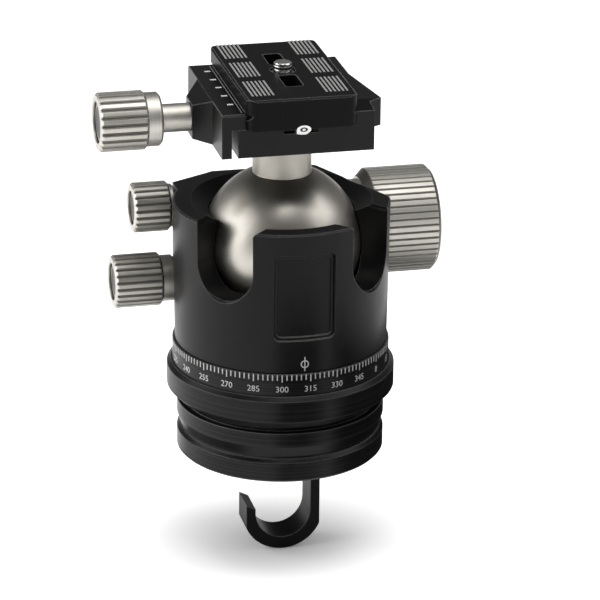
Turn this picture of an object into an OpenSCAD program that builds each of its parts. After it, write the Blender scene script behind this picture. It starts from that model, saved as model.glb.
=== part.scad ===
// Tripod ball head on its own tripod top plate, with a quick-release clamp and plate and a hanging hook.
// Origin: centre of the top plate's underside, on the panning axis. +Z up, -Y is the index side,
// +X is the side of the large locking knob.

/* [Ball and neck] */
// Diameter of the ball
ball_d = 55.4; // [54:0.1:56]
// Height of the ball's centre above the underside
ball_z = 76.1; // [75:0.1:78]
// Diameter of the neck
neck_d = 20.5; // [16:0.1:21]
// From the ball's centre to the clamp's underside
neck_reach = 41.1; // [41:0.1:46]

/* [Tripod top plate] */
// Diameter of the top plate's lower rim
base_d = 73; // [71:0.5:76]
// Height of the lower rim
base_low_h = 8.3; // [6:0.1:9]
// Width of the locking groove
groove_w = 1.1; // [1:0.1:2]
// Depth of the locking groove
groove_depth = 1.6; // [1:0.1:3]
// Height of the plain band above the groove
base_band_h = 9; // [7:0.1:10]
// Height of the undercut below the panning flange
undercut_h = 2.6; // [1.5:0.1:3]

/* [Panning base] */
// Diameter of the panning flange
flange_d = 80; // [78:0.5:86]
// Height of the panning flange
flange_h = 12; // [10:0.1:13]
// Diameter of the degree ring
scale_d = 76; // [74:0.5:77.5]
// Height of the degree ring
scale_h = 8; // [7:0.1:9]
// Diameter of the hub that the housing turns on
hub_d = 44; // [38:0.5:46]

/* [Housing] */
// Diameter of the housing at its foot
housing_d = 74.4; // [73:0.1:75.4]
// Diameter of the housing at its rim
rim_d = 75.6; // [75.5:0.1:78]
// Height of the housing
housing_h = 50.3; // [48:0.1:52]
// Width of the drop notches
notch_w = 22.4; // [21.8:0.1:23]
// Angle of the drop notches from the index
notch_angle = 45; // [43:1:47]
// Width of the front panel's recess
panel_w = 21.4; // [18:0.2:23]
// Height of the front panel's recess
panel_h = 31; // [26:0.5:34]

/* [Locking knob] */
// Diameter of the locking knob
lock_knob_d = 37.8; // [34:0.2:38]
// Length of the locking knob's grip
lock_grip_len = 26; // [20:0.5:30]
// Height of the locking knob's axis
lock_z = 73.6; // [73:0.1:75]
// Distance of the knob axes behind the panning axis
knob_back = 20; // [19:0.2:20.5]

/* [Friction and panning knobs] */
// Diameter of the friction knob
drag_knob_d = 17.6; // [15:0.2:18.4]
// Length of the friction knob's grip
drag_grip_len = 13; // [10:0.5:15]
// Height of the friction knob's axis
drag_z = 84.6; // [84:0.1:85.4]
// Diameter of the panning knob
pan_knob_d = 18.8; // [16:0.2:20]
// Length of the panning knob's grip
pan_grip_len = 17; // [14:0.5:19]
// Height of the panning knob's axis
pan_knob_z = 57.5; // [56:0.1:59]

/* [Clamp] */
// Length of the clamp along the plate
clamp_len = 57; // [56:0.5:60]
// Height of the clamp's deck above its underside
clamp_deck_h = 10; // [9.8:0.1:12]
// Height of the jaws above the deck
jaw_lip_h = 5.4; // [5.3:0.1:6.4]
// How far the moving jaw opens
jaw_travel = 3; // [2:0.5:3]
// Diameter of the clamp knob
clamp_knob_d = 20.4; // [19:0.2:21]
// Length of the clamp knob's grip
clamp_grip_len = 16.5; // [12:0.5:20]

/* [Quick-release plate] */
// Width of the plate, the common dovetail size
plate_w = 38; // [38:0.1:38.4]
// Length of the plate
plate_len = 64.3; // [62:0.1:70]
// Thickness of the plate
plate_h = 11; // [9.6:0.1:12]
// How far the plate slides each way between its stop screws
plate_travel = 1.5; // [1:0.1:2]

/* [Hook] */
// Width of the hook across its two arms
hook_w = 26.6; // [24:0.1:28]
// Thickness of the hook's band
hook_depth = 12.7; // [8:0.1:14]
// How far the hook hangs below the top plate
hook_drop = 39; // [34:0.5:44]

/* [Hidden] */

// Colours of the finishes
black_anodised = "#232326";
light_metal = "#c3bfb4";
bright_steel = "#b9bcc0";
dark_plastic = "#3a3a3c";
brass_tone = "#b08d57";

// Overrun of a cut past a face
over = 1;
// Running clearance of a shaft or a slide
fit = 0.05;
// Gap between curved faces that meet
curved_gap = 0.25;
// Gap of a visible seam between turning pieces
seam = 0.3;
// Fineness of round parts
$fn = 96;

// Heights of the stack, from the underside up
base_h = base_low_h + groove_w + base_band_h + undercut_h;
flange_z = base_h;
scale_z = flange_z + flange_h;
scale_top = scale_z + scale_h;
housing_z = scale_top + seam;
rim_z = housing_z + housing_h;
clamp_z = ball_z + neck_reach;
deck_z = clamp_z + clamp_deck_h;
jaw_top = deck_z + jaw_lip_h;
plate_top = deck_z + plate_h;

// Radii
ball_r = ball_d / 2;
base_r = base_d / 2;
flange_r = flange_d / 2;
scale_r = scale_d / 2;
hub_r = hub_d / 2;
rim_r = rim_d / 2;
bore_r = ball_r + curved_gap;
cavity_r = ball_r + 2 * curved_gap;

// Shapes that repeat

module turned(points) rotate_extrude() polygon(points);

module tube(r_out, r_in, h) difference() {
  cylinder(r = r_out, h = h);
  translate([0, 0, -over]) cylinder(r = r_in, h = h + 2 * over);
}

module plus_x() rotate([0, 90, 0]) children();
module minus_x() rotate([0, -90, 0]) children();

module ring_of(count, radius, start = 0)
  for (i = [0:count - 1]) rotate(start + i * 360 / count) translate([radius, 0, 0]) children();

module rounded_square(w, d, r) {
  square([w - 2 * r, d], center = true);
  square([w, d - 2 * r], center = true);
  for (x = [-1, 1], y = [-1, 1]) translate([x * (w / 2 - r), y * (d / 2 - r)]) circle(r = r);
}

// A socket head screw: its head stands up from z = 0 and its shank goes down
module socket_screw(head_r, head_h, shank_r, shank_len, socket_r) difference() {
  union() {
    cylinder(r = head_r, h = head_h);
    translate([0, 0, -shank_len]) cylinder(r = shank_r, h = shank_len);
  }
  translate([0, 0, head_h / 2]) cylinder(r = socket_r, h = head_h, $fn = 6);
}

// A flat head screw: its head is flush with z = 0
module flat_screw(head_r, shank_r, len, socket_r) difference() {
  union() {
    translate([0, 0, shank_r - head_r]) cylinder(r1 = shank_r, r2 = head_r, h = head_r - shank_r);
    translate([0, 0, -len]) cylinder(r = shank_r, h = len - head_r + shank_r);
  }
  translate([0, 0, -socket_r]) cylinder(r = socket_r, h = 2 * socket_r, $fn = 6);
}

module flat_hole(head_r, shank_r, len) {
  translate([0, 0, shank_r - head_r]) cylinder(r1 = shank_r, r2 = head_r + over, h = head_r - shank_r + over);
  translate([0, 0, -len]) cylinder(r = shank_r, h = len + over);
}

// A grip cut by round grooves, standing on z = 0 and pointing up. The grooves take groove_share of its edge
module ridged_grip(r, len, ridges, groove_share, bevel, foot_bevel) intersection() {
  linear_extrude(len) difference() {
    circle(r = r);
    ring_of(ridges, r) circle(r = groove_share * PI * r / ridges, $fn = 24);
  }
  turned([[0, 0], [r - foot_bevel, 0], [r, foot_bevel], [r, len - bevel], [r - bevel, len], [0, len]]);
}

wide_groove_share = 0.5;
fine_groove_share = 0.36;

// Top plate of the tripod

// Recess under the plate, which hides the hook's bridge
well_r = 19;
well_h = 9;
centre_bolt_r = 4.76;
bolt_head_r = 8;
bolt_head_h = 6;
bolt_washer_r = 10;
bolt_washer_h = 1.2;
spigot_r = 24;
spigot_h = 3;
base_edge = 0.8;
// The groove's lips: a bevel below it, and a long taper of the band above it
groove_bevel = 1.1;
band_taper_h = 3.8;

module apex_plate() color(black_anodised) difference() {
  turned([[0, 0], [base_r - base_edge, 0], [base_r, base_edge], [base_r, base_low_h - groove_bevel],
    [base_r - groove_bevel, base_low_h], [base_r - groove_depth, base_low_h],
    [base_r - groove_depth, base_low_h + groove_w], [base_r - groove_bevel, base_low_h + groove_w],
    [base_r, base_low_h + groove_w + band_taper_h], [base_r, base_h - undercut_h],
    [base_r - groove_depth - base_edge, base_h - undercut_h], [base_r - groove_depth - base_edge, base_h],
    [0, base_h]]);
  translate([0, 0, -over]) cylinder(r = well_r, h = well_h + over);
  translate([0, 0, -over]) cylinder(r = centre_bolt_r + fit, h = base_h + 2 * over);
  translate([0, 0, base_h - spigot_h]) cylinder(r = spigot_r + fit, h = spigot_h + over);
}

// The bolt comes down through the panning base and holds the hook's swivel below the web
module centre_bolt() color(bright_steel) translate([0, 0, hub_floor_z + bolt_washer_h])
  socket_screw(bolt_head_r, bolt_head_h, centre_bolt_r, hub_floor_z + bolt_washer_h - hook_nut_z,
    bolt_head_r / 2);

module centre_bolt_washer() color(bright_steel) translate([0, 0, hub_floor_z])
  tube(bolt_washer_r, centre_bolt_r + fit, bolt_washer_h);

// Panning base

flange_edge = 1.5;
flange_foot = 3;
shoulder_r = 31;
washer_r = 30;
washer_h = 0.8;
floor_h = 4.6;
hub_bore_r = 15;
hub_floor_h = 5;
hub_floor_z = flange_z + hub_floor_h;
hub_top = housing_z + floor_h + fit;
retainer_screw_r = 1.25;
retainer_screw_head_r = 2.4;
retainer_screw_len = 7;
retainer_socket_r = 1;
retainer_pcd_r = (hub_r + hub_bore_r) / 2;

module pan_base() color(black_anodised) difference() {
  turned([[0, flange_z - spigot_h], [spigot_r, flange_z - spigot_h], [spigot_r, flange_z],
    [flange_r - flange_foot, flange_z], [flange_r, flange_z + flange_foot],
    [flange_r, scale_z - flange_edge], [flange_r - flange_edge, scale_z], [shoulder_r, scale_z],
    [shoulder_r, housing_z - washer_h], [hub_r, housing_z - washer_h], [hub_r, hub_top], [0, hub_top]]);
  translate([0, 0, hub_floor_z]) cylinder(r = hub_bore_r, h = hub_top);
  translate([0, 0, flange_z - spigot_h - over]) cylinder(r = centre_bolt_r + fit, h = base_h);
  translate([0, 0, hub_top]) ring_of(4, retainer_pcd_r, 45)
    translate([0, 0, -retainer_screw_len]) cylinder(r = retainer_screw_r, h = retainer_screw_len + over);
}

module scale_ring() color(black_anodised) translate([0, 0, scale_z])
  turned([[shoulder_r + fit, 0], [scale_r, 0], [scale_r, scale_h - base_edge / 2],
    [scale_r - base_edge / 2, scale_h], [shoulder_r + fit, scale_h]]);

module pan_washer() color(dark_plastic) translate([0, 0, housing_z - washer_h])
  tube(washer_r, hub_r, washer_h);

retainer_r = 26;
retainer_h = 1.9;
module pan_retainer() color(bright_steel) difference() {
  translate([0, 0, hub_top]) tube(retainer_r, hub_bore_r, retainer_h);
  translate([0, 0, hub_top + retainer_h]) ring_of(4, retainer_pcd_r, 45)
    flat_hole(retainer_screw_head_r, retainer_screw_r, retainer_h + over);
}

module retainer_screws() color(bright_steel) translate([0, 0, hub_top + retainer_h])
  ring_of(4, retainer_pcd_r, 45)
    flat_screw(retainer_screw_head_r, retainer_screw_r, retainer_screw_len, retainer_socket_r);

// Hook, carried on a swivel in the well

hook_band = 3.3;
hook_foot = 4.5;
hook_tip_drop = 21.4;
hook_bridge_h = 4.5;
hook_bridge_gap = 1;
hook_hub_r = 7;
swivel_r = 5.5;
swivel_flange_r = 7;
swivel_flange_h = 1.2;
hook_in_r = hook_w / 2 - hook_band;
hook_mid_z = hook_foot + hook_in_r - hook_drop;
hook_nut_h = 1.6;
hook_bridge_z = well_h - hook_bridge_gap - hook_bridge_h;
hook_nut_z = hook_bridge_z - swivel_flange_h - fit;

// Bush that the hook turns on, pinched between the web and the nut
module hook_swivel() color(brass_tone) translate([0, 0, hook_nut_z])
  turned([[centre_bolt_r + fit, 0], [swivel_flange_r, 0], [swivel_flange_r, swivel_flange_h],
    [swivel_r, swivel_flange_h], [swivel_r, well_h - hook_nut_z],
    [centre_bolt_r + fit, well_h - hook_nut_z]]);

// Outline of the hook in its own plane: a round foot cut by two straight sides, and an open left arm
module hook_outline() difference() {
  union() {
    intersection() {
      translate([0, hook_mid_z]) circle(r = hook_in_r + hook_foot);
      translate([-hook_w / 2, -hook_drop]) square([hook_w, hook_mid_z + hook_drop]);
    }
    // The tip is bevelled on its inner side
    polygon([[-hook_w / 2, hook_mid_z - over], [-hook_in_r, hook_mid_z - over],
      [-hook_in_r, -hook_tip_drop - hook_band / 2], [-hook_w / 2, -hook_tip_drop]]);
    polygon([[hook_in_r, hook_mid_z - over], [hook_w / 2, hook_mid_z - over],
      [hook_w / 2, hook_bridge_z + hook_bridge_h], [-hook_hub_r, hook_bridge_z + hook_bridge_h],
      [-hook_hub_r, hook_bridge_z], [hook_in_r, hook_bridge_z]]);
  }
  translate([0, hook_mid_z]) circle(r = hook_in_r);
}

module hook() color(black_anodised) difference() {
  rotate([90, 0, 0]) translate([0, 0, -hook_depth / 2]) linear_extrude(hook_depth) hook_outline();
  cylinder(r = swivel_r + fit, h = well_h);
}

module hook_nut() color(bright_steel) translate([0, 0, hook_nut_z - hook_nut_h])
  difference() {
    cylinder(r = swivel_flange_r, h = hook_nut_h, $fn = 6);
    translate([0, 0, -over]) cylinder(r = centre_bolt_r + fit, h = hook_nut_h + 2 * over);
  }

// Housing

floor_r = 33;
floor_screw_r = 1.5;
floor_screw_head_r = 2.7;
floor_screw_grip = 7;
floor_socket_r = 1.2;
floor_pcd_r = 30.6;
rim_edge = 0.5;
rim_flat = 5.6;
funnel_h = 3.4;
notch_r = notch_w / 2;
notch_bevel = 1.1;
notch_corner = 1.8;
notch_corner_z = 1.6;
notch_rise = 0.6;
notch_z = ball_z + notch_rise;
panel_depth = 0.6;
panel_low = 53;
panel_step = 1.2;
panel_corner = 2;
foot_ring_h = 8.4;
boss_in = 4;
boss_x = rim_r - boss_in;
boss_side_y = 24;
boss_back_x = 17.5;
back_in = 5;
back_y = rim_r - back_in;
facet_angle = 25;
facet_in = 6.6;
facet_x = rim_r - facet_in;
seat_flat_x = 27.4;
seat_dish_r = 10.4;
seat_dish_h = 1.8;
spot_gap = 0.8;

// A shallow rounded recess round the front, its bed at a radius of bed_r
module front_recess(inset, bed_r) difference() {
  translate([0, 0, panel_low + panel_h / 2]) rotate([90, 0, 0]) linear_extrude(rim_r + over)
    rounded_square(panel_w - 2 * inset, panel_h - 2 * inset, panel_corner - inset / 2);
  translate([0, 0, panel_low - over]) cylinder(r = bed_r, h = panel_h + 2 * over);
}

// The drop notch along -Y: a round foot near the ball's centre, open to the top
module drop_notch() {
  translate([0, 0, notch_z]) rotate([90, 0, 0]) linear_extrude(rim_d) {
    circle(r = notch_r);
    translate([-notch_r, 0]) square([notch_w, rim_z]);
    // Rounds the walls' top corners over
    translate([0, rim_z - notch_z - notch_corner_z]) difference() {
      translate([-notch_r - notch_corner, 0]) square([notch_w + 2 * notch_corner, notch_corner + over]);
      for (s = [-1, 1]) translate([s * (notch_r + notch_corner), 0]) circle(r = notch_corner);
    }
  }
  // Bevel of the notch's edge where it meets the outside
  translate([0, notch_bevel - rim_r, notch_z]) rotate([90, 0, 0])
    cylinder(r1 = notch_r, r2 = notch_r + notch_bevel, h = notch_bevel);
  translate([0, 0, notch_z]) linear_extrude(rim_z) polygon([[-notch_r, notch_bevel - rim_r],
    [notch_r, notch_bevel - rim_r], [notch_r + notch_bevel, -rim_r], [-notch_r - notch_bevel, -rim_r]]);
}

// Squared back above the foot ring, which carries the screws of the two small knobs
module back_boss() translate([0, 0, housing_z + foot_ring_h]) linear_extrude(housing_h - foot_ring_h) {
  polygon([[0, 0], [-boss_x, 0], [-boss_x, boss_side_y], [-boss_back_x, back_y], [0, back_y]]);
}

module housing_body() {
  translate([0, 0, housing_z]) turned([[0, 0], [housing_d / 2, 0], [rim_r, housing_h - rim_edge],
    [rim_r - rim_edge, housing_h], [0, housing_h]]);
  back_boss();
}

// A bore from the cavity outwards: wide for a shoe, then narrow for its screw
module stepped_bore(shoe_r, shoe_len, screw_r) {
  cylinder(r = shoe_r + fit, h = shoe_len);
  cylinder(r = screw_r + fit, h = rim_r + over);
}

module housing() color(black_anodised) difference() {
  housing_body();
  // Flat back, and the facet on the side of the locking knob
  translate([-rim_d, back_y, housing_z + foot_ring_h]) cube([2 * rim_d, rim_d, housing_h]);
  rotate(facet_angle) translate([facet_x, -rim_d, housing_z + foot_ring_h])
    cube([rim_d, 2 * rim_d, housing_h]);
  // Spot faces that the knobs' collars turn in; the locking knob's is dished to keep its wall at the ball
  at_lock() translate([0, 0, seat_flat_x]) {
    cylinder(r1 = seat_dish_r, r2 = lock_collar_r + spot_gap, h = seat_dish_h);
    translate([0, 0, seat_dish_h]) cylinder(r = lock_collar_r + spot_gap, h = rim_r);
  }
  at_drag() translate([0, 0, boss_x]) cylinder(r = drag_collar_r + spot_gap, h = rim_r);
  at_pan() translate([0, 0, boss_x]) cylinder(r = pan_collar_r + spot_gap, h = rim_r);
  at_lock() translate([0, 0, lock_x + lock_collar_len - spot_gap])
    cylinder(r = lock_knob_d / 2 + spot_gap, h = rim_r);
  // The ball's cavity, open at the foot
  translate([0, 0, housing_z - over]) cylinder(r = bore_r, h = ball_z - housing_z + over);
  translate([0, 0, ball_z]) sphere(r = cavity_r);
  translate([0, 0, rim_z - funnel_h]) cylinder(r1 = sqrt(cavity_r ^ 2 - (rim_z - funnel_h - ball_z) ^ 2),
    r2 = rim_r - rim_flat - rim_edge, h = funnel_h + fit);
  translate([0, 0, housing_z - over]) cylinder(r = floor_r, h = floor_h + over);
  for (s = [-1, 1]) rotate(s * notch_angle) drop_notch();
  front_recess(0, housing_d / 2 - panel_depth);
  front_recess(panel_step, housing_d / 2 - 2 * panel_depth);
  // Bores of the three knobs' screws and of what they press
  at_lock() stepped_bore(lock_shoe_r, lock_shoe_x + lock_travel, lock_screw_r);
  at_drag() stepped_bore(drag_pad_r, drag_pad_x + drag_travel, drag_screw_r);
  at_pan() translate([0, 0, wedge_tip_x]) cylinder(r = pan_screw_r + fit, h = rim_r);
  pin_bore();
  translate([0, 0, housing_z + floor_h]) ring_of(6, floor_pcd_r)
    cylinder(r = floor_screw_r, h = floor_screw_grip + over);
}

module housing_floor() color(black_anodised) difference() {
  translate([0, 0, housing_z]) tube(floor_r - fit, hub_r + fit, floor_h);
  translate([0, 0, housing_z]) ring_of(6, floor_pcd_r) mirror([0, 0, 1])
    flat_hole(floor_screw_head_r, floor_screw_r, floor_h + over);
  pin_bore();
}

module floor_screws() color(bright_steel) translate([0, 0, housing_z])
  ring_of(6, floor_pcd_r) mirror([0, 0, 1])
    flat_screw(floor_screw_head_r, floor_screw_r, floor_h + floor_screw_grip, floor_socket_r);

// Ball, its seat and its stem

seat_spring_h = 0.9;
seat_rise = 16;
seat_in_r = 16;
seat_skirt = 1.5;
seat_gap = 0.5;
seat_r = bore_r - fit;
seat_foot_z = housing_z + floor_h + seat_spring_h;
seat_top = ball_z - seat_rise;
plug_r = 5;
plug_h = 8;
plug_up = 2;
plug_room = 2;
clamp_bolt_r = 3;
clamp_bolt_head_r = 5;
clamp_bolt_head_h = 4.6;
clamp_bolt_grip = 17;
dowel_r = 1.5;
dowel_at = 6.8;
dowel_len = 8;

module seat_spring() color(bright_steel) translate([0, 0, housing_z + floor_h])
  tube(seat_r, seat_r - seat_skirt, seat_spring_h);

// Cup that the ball turns in, standing on a skirt round the retainer
module ball_seat() color(dark_plastic) difference() {
  translate([0, 0, seat_foot_z]) cylinder(r = seat_r, h = seat_top - seat_foot_z);
  translate([0, 0, seat_foot_z - over]) cylinder(r = seat_in_r, h = ball_z);
  translate([0, 0, seat_foot_z - over])
    cylinder(r = seat_r - seat_skirt, h = hub_top + retainer_h + seat_gap + over - seat_foot_z);
  translate([0, 0, ball_z]) sphere(r = bore_r);
}

// Plug that closes the bore in the foot of the ball, where its core is bored out
module ball_plug() color(bright_steel) translate([0, 0, ball_z - ball_r + plug_up])
  cylinder(r = plug_r, h = plug_h);

module ball() color(light_metal) difference() {
  union() {
    translate([0, 0, ball_z]) sphere(r = ball_r);
    translate([0, 0, ball_z]) cylinder(d = neck_d, h = neck_reach);
  }
  // Bore of the plug, open below it
  translate([0, 0, ball_z - ball_r - over])
    cylinder(r = plug_r + fit, h = over + plug_up + plug_h + plug_room);
  translate([0, 0, deck_z - bolt_recess_h - clamp_bolt_grip]) cylinder(r = clamp_bolt_r, h = clamp_bolt_grip);
  for (s = [-1, 1]) translate([0, s * dowel_at, clamp_z - dowel_len / 2])
    cylinder(r = dowel_r, h = dowel_len);
}

// Clamp

clamp_half = clamp_len / 2;
body_left = 21.6;
body_right = 25.4;
dove_lip = 3.4;
dove_h = 1.8;
dove_gap = 0.1;
jaw_gap = 2.2;
jaw_wall = 3.4;
jaw_left = body_left + jaw_gap + jaw_wall;
jaw_boss_x = 32.6;
jaw_boss_top = 3.4;
jaw_boss_len = 10.4;
jaw_boss_root = 25.2;
ear_x = 29.8;
ear_h = 9.8;
ear_back_y = 8.2;
ear_front_y = 19.6;
ear_foot_y = 22;
lip_fall = 1.4;
lip_fall_len = 8.5;
jaw_edge = 0.8;
bolt_recess_h = 5;
rod_r = 1.6;
rod_at = 8.2;
rod_grip = 4;
rod_held = 9;
rod_in = rod_held + jaw_travel;
bore_wall = 1.4;
clamp_screw_r = 3;
clamp_shaft_r = 4.9;
clamp_screw_up = 6.3;
clamp_screw_z = clamp_z + clamp_screw_up;
relief_r = 7.8;
relief_h = 2.4;

// Half of the dovetail channel, its wall at x = 0 for a plate edge at x = 0
module dovetail_wall(depth, len) rotate([90, 0, 0]) translate([0, 0, -len / 2]) linear_extrude(len)
  polygon([[dove_gap, 0], [dove_gap, dove_lip], [dove_gap - dove_h, dove_lip + dove_h],
    [dove_gap - dove_h, jaw_lip_h], [depth, jaw_lip_h], [depth, 0]]);

// Flared ear on the outside of the fixed jaw
module jaw_ear() translate([0, 0, jaw_top - ear_h]) linear_extrude(ear_h)
  polygon([[plate_w / 2 + dove_gap, -ear_foot_y], [body_right, -ear_foot_y], [ear_x, -ear_front_y],
    [body_right, ear_back_y], [plate_w / 2 + dove_gap, ear_back_y]]);

module clamp_body() color(black_anodised) difference() {
  union() {
    translate([-body_left, -clamp_half, clamp_z]) cube([body_left + body_right, clamp_len, clamp_deck_h]);
    translate([plate_w / 2, 0, deck_z]) dovetail_wall(body_right - plate_w / 2, clamp_len);
    jaw_ear();
  }
  // The fixed jaw's top falls towards its front corner
  rotate([90, 0, 90]) linear_extrude(ear_x + over) polygon([[-clamp_half - over, jaw_top + over],
    [-clamp_half - over, jaw_top - lip_fall], [-clamp_half, jaw_top - lip_fall],
    [lip_fall_len - clamp_half, jaw_top], [lip_fall_len - clamp_half, jaw_top + over]]);
  // Recess of the bolt that holds the clamp on the neck
  translate([0, 0, deck_z - bolt_recess_h]) cylinder(r = clamp_bolt_head_r + fit, h = bolt_recess_h + over);
  translate([0, 0, clamp_z - over]) cylinder(r = clamp_bolt_r + fit, h = clamp_deck_h + over);
  for (s = [-1, 1]) translate([0, s * dowel_at, clamp_z - over])
    cylinder(r = dowel_r, h = dowel_len / 2 + over);
  // Bores of the guide rods and the clamp screw
  for (s = [-1, 1]) translate([-body_left - over, s * rod_at, clamp_screw_z]) plus_x()
    cylinder(r = rod_r, h = rod_in + over);
  translate([-body_left - over, 0, clamp_screw_z]) plus_x()
    cylinder(r = clamp_screw_r + fit, h = body_left + over - clamp_bolt_head_r - bore_wall);
  // Reliefs for the plate's stop screws
  for (s = [-1, 1]) translate([0, s * (clamp_half + relief_r - plate_stop_reach), deck_z - relief_h])
    cylinder(r = relief_r, h = relief_h + over);
}

module clamp_bolt() color(bright_steel) translate([0, 0, deck_z - bolt_recess_h])
  socket_screw(clamp_bolt_head_r, clamp_bolt_head_h, clamp_bolt_r, clamp_bolt_grip, clamp_bolt_head_r / 2);

module clamp_dowels() color(bright_steel) for (s = [-1, 1])
  translate([0, s * dowel_at, clamp_z - dowel_len / 2]) cylinder(r = dowel_r, h = dowel_len);

module guide_rods() color(bright_steel) for (s = [-1, 1])
  translate([-body_left - jaw_gap - rod_grip + fit, s * rod_at, clamp_screw_z]) plus_x()
    cylinder(r = rod_r, h = rod_grip + jaw_gap + rod_in - fit);

module jaw() color(black_anodised) difference() {
  union() {
    translate([-jaw_left, -clamp_half, clamp_z]) cube([jaw_wall, clamp_len, jaw_top - clamp_z]);
    translate([-plate_w / 2, 0, deck_z + fit]) mirror([1, 0, 0])
      intersection() {
        dovetail_wall(jaw_left - plate_w / 2, clamp_len);
        translate([-rim_r, -rim_r, 0]) cube([rim_d, rim_d, jaw_lip_h - fit]);
      }
    jaw_boss();
  }
  // Bevel of the top edge at both ends
  for (s = [-1, 1]) translate([0, s * clamp_half, jaw_top]) rotate([45, 0, 0])
    cube([plate_w + 2 * jaw_left, jaw_edge, jaw_edge], center = true);
  translate([-jaw_boss_x - over, 0, clamp_screw_z]) plus_x()
    cylinder(r = clamp_screw_r + fit, h = jaw_boss_x);
  for (s = [-1, 1]) translate([-body_left - jaw_gap - rod_grip, s * rod_at, clamp_screw_z]) plus_x()
    cylinder(r = rod_r + fit, h = rod_grip + jaw_gap);
}

// Boss that the clamp screw passes through, its plan a trapezium and its top falling outwards
module jaw_boss() intersection() {
  translate([0, 0, clamp_z]) linear_extrude(jaw_top - clamp_z) polygon([[over - jaw_left, -jaw_boss_root / 2],
    [-jaw_left, -jaw_boss_root / 2], [-jaw_boss_x, -jaw_boss_len / 2], [-jaw_boss_x, jaw_boss_len / 2],
    [-jaw_left, jaw_boss_root / 2], [over - jaw_left, jaw_boss_root / 2]]);
  rotate([90, 0, 0]) translate([0, 0, -jaw_boss_root / 2]) linear_extrude(jaw_boss_root)
    polygon([[over - jaw_left, clamp_z], [over - jaw_left, jaw_top], [-jaw_left, jaw_top],
      [-jaw_boss_x, jaw_top - jaw_boss_top], [-jaw_boss_x, clamp_z]]);
}

// Knobs. Each is a ridged shell on a screw, with a cap in its end; built pointing up from its seat

module knob_shell(r, grip_len, collar_r, collar_len, collar_in, collar_up, ridges, share, edge, foot,
  cap_r, screw_r) difference() {
    union() {
      turned([[0, 0], [collar_r - collar_in, 0], [collar_r, collar_up], [collar_r, collar_len],
        [0, collar_len]]);
      translate([0, 0, collar_len]) ridged_grip(r, grip_len, ridges, share, edge, foot);
    }
    translate([0, 0, -over]) cylinder(r = screw_r, h = collar_len + grip_len);
    translate([0, 0, collar_len + grip_len - cap_depth]) cylinder(r = cap_r + fit, h = cap_depth + over);
  }

knob_gap = 0.5;
cap_depth = 2.4;
cap_h = 1.6;

module knob_cap(r) turned([[0, 0], [r, 0], [r, cap_h - cap_h / 4], [r - cap_h / 4, cap_h], [0, cap_h]]);

// Locking knob
lock_shoe_r = 5;
lock_screw_r = 4;
lock_collar_r = 15.2;
lock_collar_len = 4.8;
lock_collar_in = 5;
lock_collar_up = 2.4;
lock_cap_r = 14;
lock_ridges = 50;
lock_edge = 1.6;
lock_foot = 3;
lock_shoe_len = 4;
lock_travel = 0.75;
lock_x = seat_flat_x + knob_gap;
lock_len = lock_collar_len + lock_grip_len;
lock_shoe_x = lock_shoe_len + sqrt(ball_r ^ 2 - knob_back ^ 2 - (ball_z - lock_z) ^ 2);

module at_lock() translate([0, knob_back, lock_z]) plus_x() children();

module lock_knob() color(light_metal) at_lock() translate([0, 0, lock_x])
  knob_shell(lock_knob_d / 2, lock_grip_len, lock_collar_r, lock_collar_len, lock_collar_in, lock_collar_up,
    lock_ridges, fine_groove_share, lock_edge, lock_foot, lock_cap_r, lock_screw_r);

module lock_knob_cap() color(dark_plastic) at_lock() translate([0, 0, lock_x + lock_len - cap_depth])
  knob_cap(lock_cap_r);

module lock_screw() color(bright_steel) at_lock() translate([0, 0, lock_shoe_x])
  cylinder(r = lock_screw_r, h = lock_x + lock_len - cap_depth - lock_shoe_x);

module lock_shoe() color(brass_tone) difference() {
  at_lock() cylinder(r = lock_shoe_r, h = lock_shoe_x);
  translate([0, 0, ball_z]) sphere(r = bore_r);
}

// Friction knob
drag_pad_r = 2.5;
drag_screw_r = 2;
drag_collar_r = 7.6;
drag_collar_len = 2;
drag_cap_r = 6;
drag_ridges = 22;
drag_edge = 0.8;
drag_pad_len = 3;
drag_travel = 0.8;
drag_pad_x = drag_pad_len + sqrt(ball_r ^ 2 - knob_back ^ 2 - (drag_z - ball_z) ^ 2);
drag_len = drag_collar_len + drag_grip_len;
drag_x = boss_x + knob_gap;

module at_drag() translate([0, knob_back, drag_z]) minus_x() children();

module drag_knob() color(light_metal) at_drag() translate([0, 0, drag_x])
  knob_shell(drag_knob_d / 2, drag_grip_len, drag_collar_r, drag_collar_len, drag_edge, drag_edge,
    drag_ridges, wide_groove_share, drag_edge, drag_edge, drag_cap_r, drag_screw_r);

module drag_knob_cap() color(dark_plastic) at_drag() translate([0, 0, drag_x + drag_len - cap_depth])
  knob_cap(drag_cap_r);

module drag_screw() color(bright_steel) at_drag() translate([0, 0, drag_pad_x])
  cylinder(r = drag_screw_r, h = drag_x + drag_len - cap_depth - drag_pad_x);

module drag_pad() color(brass_tone) difference() {
  at_drag() cylinder(r = drag_pad_r, h = drag_pad_x);
  translate([0, 0, ball_z]) sphere(r = bore_r, $fn = 4 * $fn);
}

// Panning knob. Its screw pushes a wedge, which presses the brake pin on the degree ring
pan_screw_r = 3;
pan_collar_r = 8.2;
pan_collar_len = 5;
pan_cap_r = 6.6;
pan_ridges = 24;
pan_edge = 0.8;
pan_len = pan_collar_len + pan_grip_len;
pan_x = boss_x + knob_gap;
pin_r = 2.5;
pin_x = 26;
pin_lift = 0.6;
wedge_tip_x = pin_x - pan_screw_r;
wedge_end_x = pin_x + pan_screw_r + 2 * pin_r / 3;

module at_pan() translate([0, knob_back, pan_knob_z]) minus_x() children();

module pan_knob() color(light_metal) at_pan() translate([0, 0, pan_x])
  knob_shell(pan_knob_d / 2, pan_grip_len, pan_collar_r, pan_collar_len, pan_edge, pan_edge,
    pan_ridges, wide_groove_share, pan_edge, pan_edge, pan_cap_r, pan_screw_r);

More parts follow.
